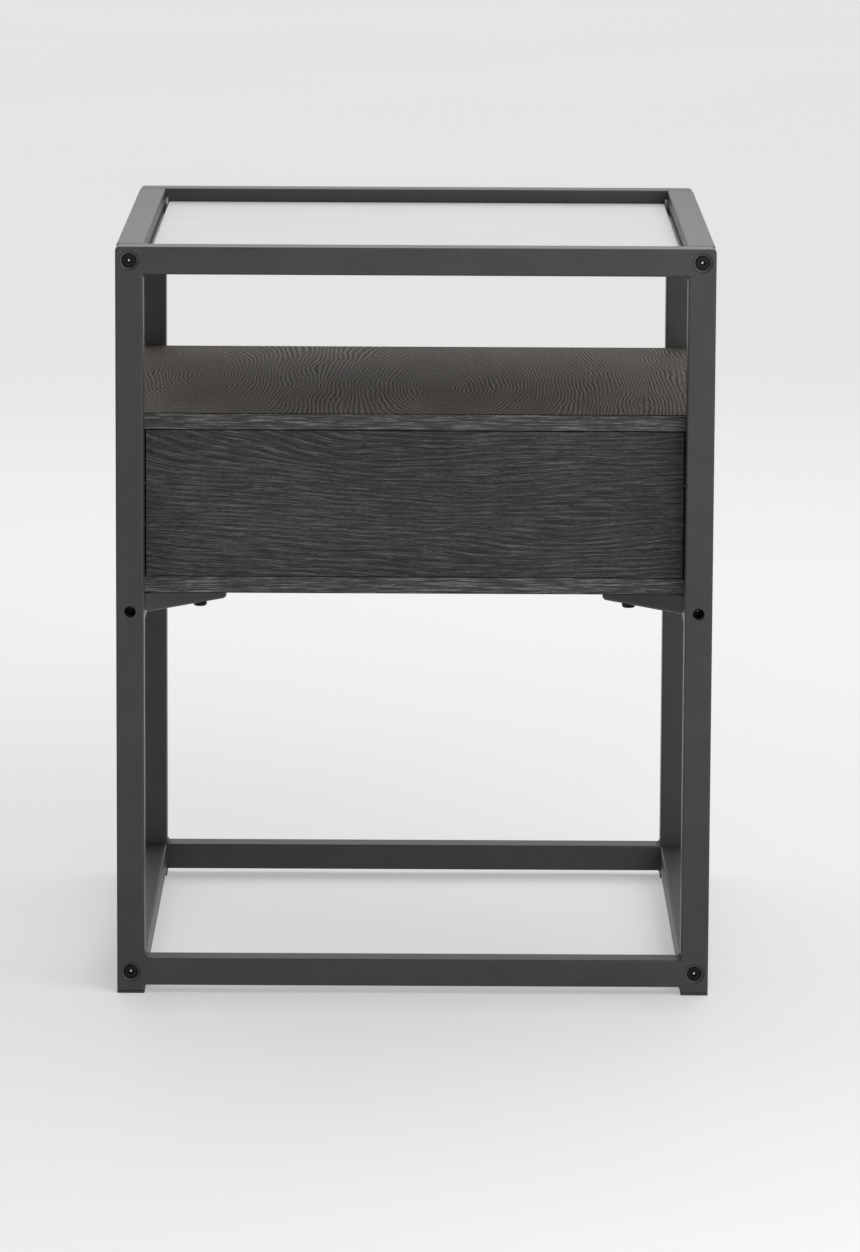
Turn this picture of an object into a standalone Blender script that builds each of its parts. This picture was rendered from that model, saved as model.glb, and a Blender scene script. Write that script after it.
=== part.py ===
"""Side table: steel tube frame, glass top, open shelf and one push-to-open drawer.

Metres, +Z up. The origin is on the floor below the middle of the table, the front faces -Y
and the table's width runs along X.
"""

import math

import bmesh
import bpy
from mathutils import Matrix, Vector

# Whole table
WIDTH = 0.430
DEPTH = 0.400
HEIGHT = 0.547
GAP = 0.0003

# Square steel tube and the two welded frames
TUBE = 0.020
TUBE_WALL = 0.0015
TUBE_EDGE_RADIUS = 0.0015
FRAME_CORNER_RADIUS = 0.003
FLOOR_CLEARANCE = 0.006
FOOT_FLANGE = 0.002
FOOT_STEM = 0.0065
FOOT_EDGE = 0.0006

# Screws that hold the side rails between the frames
CORNER_SCREW_RADIUS = 0.003
CORNER_HEAD_RADIUS = 0.005
CORNER_HEAD_HEIGHT = 0.0033
CORNER_HEAD_DEPTH = 0.0012
CORNER_SCREW_LENGTH = 0.034
CORNER_SLEEVE_RADIUS = 0.0066
CORNER_DIMPLE_RADIUS = 0.0061
CORNER_DIMPLE_DEPTH = 0.001
CORNER_SOCKET_RADIUS = 0.0023
MID_SCREW_RADIUS = 0.002
MID_HEAD_RADIUS = 0.0035
MID_HEAD_HEIGHT = 0.004
MID_SCREW_LENGTH = 0.018
MID_HOLE_RADIUS = 0.004
MID_SOCKET_RADIUS = 0.0017
SOCKET_DEPTH = 0.0022
HOLE_CLEARANCE = 0.0003
END_PLATE = 0.003
SCREW_EDGE = 0.0006

# Box that holds the drawer; it rests on the middle rails
PANEL = 0.012
SIDE_PANEL = 0.015
BACK_PANEL = 0.005
BACK_PANEL_INSET = 0.0025
BOX_HEIGHT = 0.1317
BOX_SIDE_INSET = 0.001
BOX_END_GAP = 0.002
MID_RAIL_TOP = 0.292
PANEL_EDGE = 0.0004

# Gussets welded to the middle rails, and the screws up into the box
GUSSET_HALF_BASE = 0.062
GUSSET_REACH = 0.057
GUSSET_TIP_RADIUS = 0.006
GUSSET_HEIGHT = 0.0144
GUSSET_SHEET = 0.002
GUSSET_SCREW_IN = 0.038
GUSSET_SCREW_ALONG = 0.012
GUSSET_SCREW_RADIUS = 0.0022
GUSSET_HEAD_RADIUS = 0.005
GUSSET_HEAD_HEIGHT = 0.003
GUSSET_HEAD_EDGE = 0.0012
GUSSET_SCREW_BITE = 0.008

# Drawer
FRONT_THICKNESS = 0.016
FRONT_SIDE_GAP = 0.0006
FRONT_TOP_GAP = 0.0006
FRONT_BOTTOM_GAP = 0.0004
DRAWER_BOARD = 0.012
DRAWER_HALF_WIDTH = 0.1858
DRAWER_LOW = 0.3145
DRAWER_HIGH = 0.3945
DRAWER_REAR = 0.110
DRAWER_BASE = 0.0035
DRAWER_BASE_LOW = 0.3205
GROOVE_DEPTH = 0.0058

# Ball runners, measured out from the drawer side and up and down from their middle
RUNNER_SHEET = 0.0012
RUNNER_FRONT = -0.158
RUNNER_LENGTH = 0.260
RUNNER_HEIGHT = 0.3545
CABINET_CHANNEL_HALF = 0.0154
CABINET_CHANNEL_LIP = 0.1886
DRAWER_CHANNEL_HALF = 0.011
DRAWER_CHANNEL_LIP = 0.1926
CAGE_SHEET = 0.0008
CAGE_HALF = 0.013
CAGE_FACE = 0.1940
CAGE_LIP = 0.1890
CAGE_LENGTH = 0.080
CAGE_MIDDLE = -0.025
BALL_RADIUS = 0.0013
BALL_SPACING = 0.024
BALL_LINE = 0.1911

# Push-to-open latch behind the drawer
LATCH_WIDTH = 0.018
LATCH_HEIGHT = 0.029
LATCH_FRONT = 0.118
LATCH_AXIS_HEIGHT = 0.322
PLUNGER_RADIUS = 0.004
PLUNGER_TIP_RADIUS = 0.005
PLUNGER_TIP_LENGTH = 0.003
PLUNGER_FRONT = 0.113
PLUNGER_LENGTH = 0.050
PLUNGER_ROOM = 0.0015

# Glass top and its bumpers
GLASS = 0.005
GLASS_DROP = 0.010
GLASS_MARGIN = 0.0025
GLASS_EDGE = 0.0007
TAB_THICKNESS = 0.002
TAB_REACH = 0.009
TAB_LENGTH = 0.016
TAB_INSET = 0.010
BUMPER_FOOT = 0.0009
BUMPER_REACH = 0.008
BUMPER_LENGTH = 0.015
BUMPER_ABOVE_GLASS = 0.0035

# Steps of the round shapes
SCREW_STEPS = 12
HOLE_STEPS = 16

# Positions that follow from the sizes above
POST_X = (WIDTH - TUBE) / 2
FRAME_Y = (DEPTH - TUBE) / 2
INNER_X = WIDTH / 2 - TUBE
INNER_Y = DEPTH / 2 - TUBE
TOP_RAIL_Z = HEIGHT - TUBE / 2
MID_RAIL_Z = MID_RAIL_TOP - TUBE / 2
BOTTOM_RAIL_Z = FLOOR_CLEARANCE + TUBE / 2
RAIL_HALF_LENGTH = INNER_Y - GAP
BOX_HALF_X = WIDTH / 2 - BOX_SIDE_INSET
BOX_HALF_Y = INNER_Y - BOX_END_GAP
BOX_LOW = MID_RAIL_TOP + GAP
BOX_HIGH = BOX_LOW + BOX_HEIGHT
BAY_LOW = BOX_LOW + PANEL
BAY_HIGH = BOX_HIGH - PANEL
BAY_HALF_X = BOX_HALF_X - SIDE_PANEL
BOX_BACK_FACE = BOX_HALF_Y - BACK_PANEL_INSET
GLASS_HIGH = HEIGHT - GLASS_DROP
GLASS_LOW = GLASS_HIGH - GLASS
TAB_Y = INNER_Y - TAB_INSET

# Colour, roughness and metallic value of each finish
FINISHES = {
    "powder_coat": ((0.055, 0.053, 0.050), 0.50, 0.0),
    "black_steel": ((0.012, 0.012, 0.013), 0.35, 1.0),
    "dark_oak_board": ((0.050, 0.045, 0.041), 0.55, 0.0),
    "grey_board": ((0.180, 0.170, 0.160), 0.65, 0.0),
    "zinc": ((0.560, 0.570, 0.580), 0.30, 1.0),
    "black_plastic": ((0.020, 0.020, 0.021), 0.45, 0.0),
    "pale_plastic": ((0.620, 0.620, 0.600), 0.45, 0.0),
    "clear_silicone": ((0.800, 0.800, 0.790), 0.30, 0.0),
    "glass": ((0.820, 0.840, 0.830), 0.35, 0.0),
}


def clear_scene():
    """Remove every object the scene starts with."""
    for existing in list(bpy.data.objects):
        bpy.data.objects.remove(existing, do_unlink=True)


def new_collection(name):
    """Make a collection in the scene."""
    collection = bpy.data.collections.new(name)
    bpy.context.scene.collection.children.link(collection)
    return collection


clear_scene()
PARTS = new_collection("side_table")
CUTTERS = new_collection("side_table_cutters")


def principled(name, finish):
    """Make a piece's own material from one of the finishes."""
    colour, roughness, metallic = FINISHES[finish]
    material = bpy.data.materials.new(name)
    material.use_nodes = True
    shader = material.node_tree.nodes["Principled BSDF"]
    shader.inputs["Base Color"].default_value = (*colour, 1.0)
    shader.inputs["Roughness"].default_value = roughness
    shader.inputs["Metallic"].default_value = metallic
    material.diffuse_color = (*colour, 1.0)
    return material


def empty(name, location):
    """Make an empty that a moving group hangs on."""
    marker = bpy.data.objects.new(name, None)
    marker.location = location
    PARTS.objects.link(marker)
    return marker


def box(low, high):
    """A block between two corners."""
    low, high = Vector(low), Vector(high)

    def add(mesh):
        size = Matrix.Diagonal((*(high - low), 1.0))
        bmesh.ops.create_cube(mesh, size=1.0, matrix=Matrix.Translation((low + high) / 2) @ size)

    return add


def rod(radius, start, end, steps=HOLE_STEPS, end_radius=None):
    """A cylinder, or a cone where the end radius differs, between two points."""
    start, end = Vector(start), Vector(end)
    turn = (end - start).to_track_quat("Z", "Y").to_matrix().to_4x4()

    def add(mesh):
        bmesh.ops.create_cone(
            mesh, cap_ends=True, segments=steps, radius1=radius,
            radius2=radius if end_radius is None else end_radius,
            depth=(end - start).length, matrix=Matrix.Translation((start + end) / 2) @ turn)

    return add


def ball(radius, centre):
    """A small sphere."""

    def add(mesh):
        bmesh.ops.create_uvsphere(
            mesh, u_segments=8, v_segments=5, radius=radius, matrix=Matrix.Translation(centre))

    return add


def mesh_of(name, shapes):
    """Put shapes that stand clear of each other into one mesh."""
    edit = bmesh.new()
    for add in shapes:
        add(edit)
    mesh = bpy.data.meshes.new(name)
    edit.to_mesh(mesh)
    edit.free()
    return mesh


def outline_mesh(name, points, thickness):
    """Make a closed plate from a flat outline, with its underside at z = 0."""
    curve = bpy.data.curves.new(name, "CURVE")
    curve.dimensions = "2D"
    curve.fill_mode = "BOTH"
    curve.extrude = thickness / 2
    spline = curve.splines.new("POLY")
    spline.points.add(len(points) - 1)
    for point, (x, y) in zip(spline.points, points):
        point.co = (x, y, 0.0, 1.0)
    spline.use_cyclic_u = True
    source = bpy.data.objects.new(name, curve)
    bpy.context.scene.collection.objects.link(source)
    evaluated = source.evaluated_get(bpy.context.evaluated_depsgraph_get())
    mesh = bpy.data.meshes.new_from_object(evaluated)
    bpy.data.objects.remove(source, do_unlink=True)
    edit = bmesh.new()
    edit.from_mesh(mesh)
    bmesh.ops.remove_doubles(edit, verts=edit.verts, dist=0.00001)
    bmesh.ops.translate(edit, verts=edit.verts, vec=(0.0, 0.0, thickness / 2))
    bmesh.ops.recalc_face_normals(edit, faces=edit.faces)
    edit.to_mesh(mesh)
    edit.free()
    return mesh


def add_piece(name, mesh, finish, location=(0.0, 0.0, 0.0), turn=0.0, parent=None):
    """Place a piece of the table, turned about the vertical."""
    piece = bpy.data.objects.new(name, mesh)
    piece.location = location
    piece.rotation_euler = (0.0, 0.0, turn)
    piece.parent = parent
    piece.data.materials.clear()
    piece.data.materials.append(principled(name, finish))
    PARTS.objects.link(piece)
    return piece


def add_tool(owner, label, mesh, operation):
    """Cut a mesh from a piece, or join it on. The mesh is in the piece's own frame."""
    tool = bpy.data.objects.new(f"{owner.name}_{label}", mesh)
    tool.parent = owner
    tool.hide_render = True
    tool.display_type = "WIRE"
    CUTTERS.objects.link(tool)
    modifier = owner.modifiers.new(label, "BOOLEAN")
    modifier.operation = operation
    modifier.solver = "EXACT"
    modifier.object = tool
    return tool


def cut(owner, label, shapes):
    """Cut shapes out of a piece."""
    return add_tool(owner, label, mesh_of(label, shapes), "DIFFERENCE")


def fuse(owner, label, shapes):
    """Join shapes onto a piece."""
    return add_tool(owner, label, mesh_of(label, shapes), "UNION")


def round_edges(piece, radius, segments=2):
    """Round every edge sharper than 40 degrees."""
    modifier = piece.modifiers.new("edges", "BEVEL")
    modifier.width = radius
    modifier.segments = segments
    modifier.limit_method = "ANGLE"
    modifier.angle_limit = math.radians(40.0)


def turned_piece(name, profile, finish, location, axis, parent=None, steps=SCREW_STEPS):
    """Turn a profile of (radius, height) points about an axis that starts at the location."""
    mesh = bpy.data.meshes.new(name)
    points = [(radius, 0.0, height) for radius, height in profile]
    mesh.from_pydata(points, [(i, i + 1) for i in range(len(points) - 1)], [])
    piece = add_piece(name, mesh, finish, location, parent=parent)
    piece.rotation_euler = Vector(axis).to_track_quat("Z", "Y").to_euler()
    modifier = piece.modifiers.new("turn", "SCREW")
    modifier.steps = steps
    modifier.render_steps = steps
    modifier.use_merge_vertices = True
    modifier.merge_threshold = 0.00005
    modifier.use_smooth_shade = True
    return piece


def side_name(side):
    """Name the left (-1) or right (+1) side."""
    return "left" if side < 0 else "right"


def end_name(end):
    """Name the front (-1) or back (+1) end."""
    return "front" if end < 0 else "back"


def corners():
    """The four corners of the table in plan, as (end, side)."""
    return [(end, side) for end in (-1, 1) for side in (-1, 1)]


# Frames


def rounded_plate_mesh(name):
    """The frame's outer block, with its two upper corners rounded in front view."""
    edit = bmesh.new()
    low = (-WIDTH / 2, -TUBE / 2, FOOT_FLANGE + GAP)
    box(low, (WIDTH / 2, TUBE / 2, HEIGHT))(edit)
    upper = [edge for edge in edit.edges
             if all(abs(vert.co.z - HEIGHT) < GAP for vert in edge.verts)
             and abs(edge.verts[0].co.x - edge.verts[1].co.x) < GAP]
    bmesh.ops.bevel(edit, geom=upper, offset=FRAME_CORNER_RADIUS, segments=4,
                    profile=0.5, affect="EDGES")
    mesh = bpy.data.meshes.new(name)
    edit.to_mesh(mesh)
    edit.free()
    return mesh


def frame_windows(margin, depth):
    """The opening between the rails and the one under the bottom rail, grown by a margin."""
    reach = INNER_X + margin
    rail_top = FLOOR_CLEARANCE + TUBE
    main = box((-reach, -depth, rail_top - margin), (reach, depth, HEIGHT - TUBE + margin))
    under = box((-reach, -depth, -TUBE), (reach, depth, FLOOR_CLEARANCE + margin))
    return [main, under]


def corner_points():
    """The four corner screws of a frame, as (x, z)."""
    return [(side * POST_X, height) for side in (-1, 1) for height in (TOP_RAIL_Z, BOTTOM_RAIL_Z)]


def mid_points():
    """The two middle screws of a frame, as (x, z)."""
    return [(side * POST_X, MID_RAIL_Z) for side in (-1, 1)]


def make_frame(end):
    """One welded ring of hollow tube. Its own -Y side faces out of the table."""
    name = f"{end_name(end)}_frame"
    turn = 0.0 if end < 0 else math.pi
    frame = add_piece(name, rounded_plate_mesh(name), "powder_coat",
                      (0.0, end * FRAME_Y, 0.0), turn)
    cut(frame, "windows", frame_windows(0.0, TUBE))
    round_edges(frame, TUBE_EDGE_RADIUS)
    inside = TUBE / 2 - TUBE_WALL
    hollow = cut(frame, "hollow", [
        box((-WIDTH / 2 + TUBE_WALL, -inside, -TUBE), (WIDTH / 2 - TUBE_WALL, inside, HEIGHT - TUBE_WALL))])
    cut(hollow, "walls", frame_windows(TUBE_WALL, TUBE))
    cut(hollow, "sleeves", [
        rod(CORNER_SLEEVE_RADIUS, (x, -TUBE, z), (x, TUBE, z)) for x, z in corner_points()])
    outer = -TUBE / 2
    seat = outer + CORNER_HEAD_DEPTH + CORNER_HEAD_HEIGHT + GAP
    cut(frame, "head_seats", [
        rod(CORNER_HEAD_RADIUS + HOLE_CLEARANCE, (x, outer - TUBE, z), (x, seat, z))
        for x, z in corner_points()])
    # The cone reaches as far outside the face as inside it, so it is dimple-wide on the face.
    cut(frame, "dimples", [
        rod(2 * CORNER_DIMPLE_RADIUS - CORNER_HEAD_RADIUS, (x, outer - CORNER_DIMPLE_DEPTH, z),
            (x, outer + CORNER_DIMPLE_DEPTH, z), end_radius=CORNER_HEAD_RADIUS)
        for x, z in corner_points()])
    through = [rod(CORNER_SCREW_RADIUS + HOLE_CLEARANCE, (x, seat - GAP, z), (x, TUBE, z))
               for x, z in corner_points()]
    through += [rod(MID_SCREW_RADIUS + HOLE_CLEARANCE, (x, 0.0, z), (x, TUBE, z))
                for x, z in mid_points()]
    cut(frame, "screw_holes", through)
    cut(frame, "access_holes", [
        rod(MID_HOLE_RADIUS, (x, -TUBE, z), (x, 0.0, z)) for x, z in mid_points()])


def make_rail(level, side, height, screw_radius):
    """One hollow side rail with a drilled plate in each end."""
    name = f"{level}_rail_{side_name(side)}"
    half = TUBE / 2
    mesh = mesh_of(name, [box((-half, -RAIL_HALF_LENGTH, -half), (half, RAIL_HALF_LENGTH, half))])
    rail = add_piece(name, mesh, "powder_coat", (side * POST_X, 0.0, height))
    round_edges(rail, TUBE_EDGE_RADIUS)
    inside = half - TUBE_WALL
    bore = RAIL_HALF_LENGTH - END_PLATE
    cut(rail, "bore", [box((-inside, -bore, -inside), (inside, bore, inside))])
    radius = screw_radius + HOLE_CLEARANCE
    cut(rail, "end_holes", [
        rod(radius, (0.0, end * (bore - END_PLATE), 0.0), (0.0, end * INNER_Y, 0.0))
        for end in (-1, 1)])
    return rail


def add_tabs(rail, side):
    """Weld on the two tabs that carry the glass."""
    high = GLASS_LOW - GAP - BUMPER_FOOT - GAP - TOP_RAIL_Z
    face = -side * TUBE / 2
    tabs = []
    for end in (-1, 1):
        middle = end * TAB_Y
        near, far = sorted((face + side * TUBE_WALL / 2, face - side * TAB_REACH))
        tabs.append(box((near, middle - TAB_LENGTH / 2, high - TAB_THICKNESS),
                        (far, middle + TAB_LENGTH / 2, high)))
    fuse(rail, "tabs", tabs)


def make_foot(end, side):
    """A plug with a flat flange, pressed into the bottom of a post."""
    name = f"foot_{end_name(end)}_{side_name(side)}"
    half = TUBE / 2
    mesh = mesh_of(name, [box((-half, -half, 0.0), (half, half, FOOT_FLANGE))])
    foot = add_piece(name, mesh, "black_plastic", (side * POST_X, end * FRAME_Y, 0.0))
    stem = half - TUBE_WALL - GAP
    round_edges(foot, FOOT_EDGE, 1)
    fuse(foot, "stem", [box((-stem, -stem, FOOT_FLANGE / 2), (stem, stem, FOOT_FLANGE + FOOT_STEM))])


def make_corner_screw(end, side, level, height):
    """A hex-socket screw from the face of a frame into the end of a rail."""
    name = f"corner_screw_{end_name(end)}_{level}_{side_name(side)}"
    head = CORNER_HEAD_RADIUS
    tip = -CORNER_HEAD_HEIGHT - CORNER_SCREW_LENGTH
    profile = [(0.0, 0.0), (head - SCREW_EDGE, 0.0), (head, -SCREW_EDGE), (head, -CORNER_HEAD_HEIGHT),
               (CORNER_SCREW_RADIUS, -CORNER_HEAD_HEIGHT), (CORNER_SCREW_RADIUS, tip + SCREW_EDGE),
               (CORNER_SCREW_RADIUS - SCREW_EDGE, tip), (0.0, tip)]
    place = (side * POST_X, end * (DEPTH / 2 - CORNER_HEAD_DEPTH), height)
    screw = turned_piece(name, profile, "black_steel", place, (0.0, end, 0.0))
    cut(screw, "socket", [rod(CORNER_SOCKET_RADIUS, (0.0, 0.0, -SOCKET_DEPTH), (0.0, 0.0, SOCKET_DEPTH), 6)])


def make_mid_screw(end, side):
    """A cap screw on the inner wall of a post, reached through the access hole."""
    name = f"mid_screw_{end_name(end)}_{side_name(side)}"
    head = MID_HEAD_RADIUS
    tip = -MID_HEAD_HEIGHT - MID_SCREW_LENGTH
    profile = [(0.0, 0.0), (head, 0.0), (head, -MID_HEAD_HEIGHT), (MID_SCREW_RADIUS, -MID_HEAD_HEIGHT),
               (MID_SCREW_RADIUS, tip), (0.0, tip)]
    seat = INNER_Y + TUBE_WALL + GAP
    place = (side * POST_X, end * (seat + MID_HEAD_HEIGHT), MID_RAIL_Z)
    screw = turned_piece(name, profile, "black_steel", place, (0.0, end, 0.0))
    cut(screw, "socket", [rod(MID_SOCKET_RADIUS, (0.0, 0.0, -SOCKET_DEPTH), (0.0, 0.0, SOCKET_DEPTH), 6)])


def make_metalwork():
    """Frames, rails, feet and the screws between them."""
    for end in (-1, 1):
        make_frame(end)
    for side in (-1, 1):
        add_tabs(make_rail("top", side, TOP_RAIL_Z, CORNER_SCREW_RADIUS), side)
        make_rail("mid", side, MID_RAIL_Z, MID_SCREW_RADIUS)
        make_rail("bottom", side, BOTTOM_RAIL_Z, CORNER_SCREW_RADIUS)
    for end, side in corners():
        make_foot(end, side)
        make_corner_screw(end, side, "top", TOP_RAIL_Z)
        make_corner_screw(end, side, "bottom", BOTTOM_RAIL_Z)
        make_mid_screw(end, side)


# Gussets


def gusset_outline(side, inset):
    """Triangle with a round tip. Its base lies along the rail, its tip points inwards."""
    centre = GUSSET_REACH - GUSSET_TIP_RADIUS
    slope = (math.atan2(GUSSET_HALF_BASE, centre)
             - math.asin(GUSSET_TIP_RADIUS / math.hypot(centre, GUSSET_HALF_BASE)))
    start = GAP + inset
    along = (start + inset * math.sin(slope)) / math.cos(slope)
    half_base = GUSSET_HALF_BASE - inset * math.cos(slope) - along * math.sin(slope)
    radius = GUSSET_TIP_RADIUS - inset
    sweep = math.pi / 2 - slope
    steps = 6
    arc = [(centre + radius * math.cos(angle), radius * math.sin(angle))
           for angle in (sweep * (2 * step / steps - 1) for step in range(steps + 1))]
    outline = [(start, -half_base)] + arc + [(start, half_base)]
    return [(-side * x, y) for x, y in outline]


def make_gusset(end, side):
    """A pressed tray on the inner face of a middle rail, with the screw that holds the box."""
    label = f"{end_name(end)}_{side_name(side)}"
    middle = end * (BOX_HALF_Y - GUSSET_HALF_BASE)
    low = MID_RAIL_TOP - GAP - GUSSET_HEIGHT
    name = f"gusset_{label}"
    mesh = outline_mesh(name, gusset_outline(side, 0.0), GUSSET_HEIGHT)
    gusset = add_piece(name, mesh, "powder_coat", (side * INNER_X, middle, low))
    tray = outline_mesh(f"{name}_tray", gusset_outline(side, GUSSET_SHEET), GUSSET_HEIGHT)
    pocket = add_tool(gusset, "tray", tray, "DIFFERENCE")
    pocket.location = (0.0, 0.0, GUSSET_SHEET)
    spot = (-side * GUSSET_SCREW_IN, end * GUSSET_SCREW_ALONG)
    radius = GUSSET_SCREW_RADIUS + HOLE_CLEARANCE
    cut(gusset, "screw_hole", [rod(radius, (*spot, -GUSSET_SHEET), (*spot, 2 * GUSSET_SHEET), 12)])
    return (side * INNER_X + spot[0], middle + spot[1]), low, label


def make_gusset_screw(place, low, label):
    """A pan-head wood screw, driven up through the gusset."""
    head = GUSSET_HEAD_RADIUS
    shank = GUSSET_SCREW_RADIUS
    tip = -(BOX_LOW + GUSSET_SCREW_BITE - low)
    profile = [(0.0, GUSSET_HEAD_HEIGHT), (head - GUSSET_HEAD_EDGE, GUSSET_HEAD_HEIGHT),
               (head, GUSSET_HEAD_HEIGHT - GUSSET_HEAD_EDGE), (head, 0.0), (shank, 0.0),
               (shank, tip + shank), (0.0, tip)]
    turned_piece(f"gusset_screw_{label}", profile, "black_steel", (*place, low - GAP), (0.0, 0.0, -1.0))


# Box round the drawer


def make_panel(name, low, high, finish="dark_oak_board", parent=None, edge=PANEL_EDGE):
    """A board with slightly eased edges, its origin in its middle."""
    low, high = Vector(low), Vector(high)
    middle = (low + high) / 2
    mesh = mesh_of(name, [box(low - middle, high - middle)])
    base = parent.location if parent else Vector((0.0, 0.0, 0.0))
    panel = add_piece(name, mesh, finish, middle - base, parent=parent)
    round_edges(panel, edge, 1)
    return panel


def make_box(screw_places):
    """Shelf panel, bottom panel, two sides and a back."""
    x, y = BOX_HALF_X, BOX_HALF_Y
    make_panel("shelf_panel", (-x, -y, BAY_HIGH), (x, y, BOX_HIGH))
    bottom = make_panel("box_bottom", (-x, -y, BOX_LOW), (x, y, BAY_LOW))
    depth = GUSSET_SCREW_BITE + GAP - PANEL / 2
    radius = GUSSET_SCREW_RADIUS + HOLE_CLEARANCE
    cut(bottom, "pilot_holes", [
        rod(radius, (*place, -PANEL), (*place, depth), SCREW_STEPS) for place in screw_places])
    for side in (-1, 1):
        near, far = sorted((side * BAY_HALF_X, side * x))
        make_panel(f"box_side_{side_name(side)}", (near, -y, BAY_LOW + GAP), (far, y, BAY_HIGH - GAP))
    inner = BAY_HALF_X - GAP
    make_panel("box_back", (-inner, BOX_BACK_FACE - BACK_PANEL, BAY_LOW + GAP),
               (inner, BOX_BACK_FACE, BAY_HIGH - GAP))


# Drawer and its runners


def make_drawer(slide):
    """Front, two sides, a back and a thin bottom held in a groove all round."""
    front_face = -BOX_HALF_Y
    rear_of_front = front_face + FRONT_THICKNESS
    half_front = INNER_X - FRONT_SIDE_GAP
    front = make_panel("drawer_front", (-half_front, front_face, BAY_LOW + FRONT_BOTTOM_GAP),
                       (half_front, rear_of_front, BAY_HIGH - FRONT_TOP_GAP), parent=slide)
    inner = DRAWER_HALF_WIDTH - DRAWER_BOARD
    boards = [front]
    for side in (-1, 1):
        near, far = sorted((side * inner, side * DRAWER_HALF_WIDTH))
        boards.append(make_panel(f"drawer_side_{side_name(side)}", (near, rear_of_front + GAP, DRAWER_LOW),
                                 (far, DRAWER_REAR, DRAWER_HIGH), "grey_board", slide))
    boards.append(make_panel("drawer_back", (-inner + GAP, DRAWER_REAR - DRAWER_BOARD, DRAWER_LOW),
                             (inner - GAP, DRAWER_REAR, DRAWER_HIGH), "grey_board", slide))
    low = Vector((-inner - GROOVE_DEPTH, rear_of_front - GROOVE_DEPTH, DRAWER_BASE_LOW))
    high = Vector((inner + GROOVE_DEPTH, DRAWER_REAR - DRAWER_BOARD + GROOVE_DEPTH,
                   DRAWER_BASE_LOW + DRAWER_BASE))
    make_panel("drawer_bottom", low, high, "grey_board", slide)
    room = Vector((GAP, GAP, GAP))
    for board in boards:
        shift = slide.location + board.location
        cut(board, "groove", [box(low - room - shift, high + room - shift)])


def channel(side, web_face, lip, half_height, half_length, sheet):
    """Blocks of a channel section that runs along Y, open from its web towards its lips."""
    inwards = 1.0 if web_face > lip else -1.0
    web_inner = web_face - inwards * sheet
    web_x = sorted((side * web_face, side * web_inner))
    lip_x = sorted((side * (web_face - inwards * sheet / 2), side * lip))
    web = box((web_x[0], -half_length, -half_height), (web_x[1], half_length, half_height))
    lips = [box((lip_x[0], -half_length, top - sheet), (lip_x[1], half_length, top))
            for top in (half_height, sheet - half_height)]
    return web, lips


def make_channel(name, side, face, lip, half_height, length, middle, sheet, parent=None):
    """A channel-section member of a runner."""
    web, lips = channel(side, face, lip, half_height, length / 2, sheet)
    location = Vector((0.0, middle, RUNNER_HEIGHT))
    base = parent.location if parent else Vector((0.0, 0.0, 0.0))
    member = add_piece(name, mesh_of(name, [web]), "zinc", location - base, parent=parent)
    fuse(member, "lips", lips)
    return member


def make_runners(slide):
    """A cabinet channel, a drawer channel and a ball cage on each side."""
    rear_of_front = FRONT_THICKNESS - BOX_HALF_Y
    drawer_channel_start = rear_of_front + GAP
    for side in (-1, 1):
        label = side_name(side)
        make_channel(f"cabinet_runner_{label}", side, BAY_HALF_X - GAP, CABINET_CHANNEL_LIP,
                     CABINET_CHANNEL_HALF, RUNNER_LENGTH, RUNNER_FRONT + RUNNER_LENGTH / 2,
                     RUNNER_SHEET)
        make_channel(f"drawer_runner_{label}", side, DRAWER_HALF_WIDTH + GAP, DRAWER_CHANNEL_LIP,
                     DRAWER_CHANNEL_HALF, RUNNER_LENGTH, drawer_channel_start + RUNNER_LENGTH / 2,
                     RUNNER_SHEET, slide)
        carrier = empty(f"cage_slide_{label}", (0.0, CAGE_MIDDLE, RUNNER_HEIGHT))
        cage = make_channel(f"ball_cage_{label}", side, CAGE_FACE, CAGE_LIP, CAGE_HALF,
                            CAGE_LENGTH, CAGE_MIDDLE, CAGE_SHEET, carrier)
        line = CAGE_HALF - CAGE_SHEET / 2
        balls = [ball(BALL_RADIUS, (side * BALL_LINE, step * BALL_SPACING, height))
                 for height in (-line, line) for step in (-1, 0, 1)]
        fuse(cage, "balls", balls)


# Latch


def make_latch():
    """A body on the bottom panel and the plunger that pushes the drawer open."""
    half = LATCH_WIDTH / 2
    rear = BOX_BACK_FACE - BACK_PANEL - GAP
    low = BAY_LOW + GAP
    body = make_panel("latch_body", (-half, LATCH_FRONT, low), (half, rear, low + LATCH_HEIGHT),
                      "pale_plastic")
    middle_y = (LATCH_FRONT + rear) / 2
    axis_z = LATCH_AXIS_HEIGHT - (low + LATCH_HEIGHT / 2)
    bore_end = PLUNGER_FRONT + PLUNGER_LENGTH + PLUNGER_ROOM - middle_y
    cut(body, "bore", [rod(PLUNGER_RADIUS + GAP, (0.0, LATCH_FRONT - middle_y - GAP, axis_z),
                           (0.0, bore_end, axis_z))])
    carrier = empty("plunger_slide", (0.0, PLUNGER_FRONT, LATCH_AXIS_HEIGHT))
    profile = [(0.0, 0.0), (PLUNGER_TIP_RADIUS, 0.0), (PLUNGER_TIP_RADIUS, -PLUNGER_TIP_LENGTH),
               (PLUNGER_RADIUS, -PLUNGER_TIP_LENGTH), (PLUNGER_RADIUS, -PLUNGER_LENGTH),
               (0.0, -PLUNGER_LENGTH)]
    turned_piece("latch_plunger", profile, "black_plastic", (0.0, 0.0, 0.0), (0.0, -1.0, 0.0), carrier)


# Glass


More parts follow.
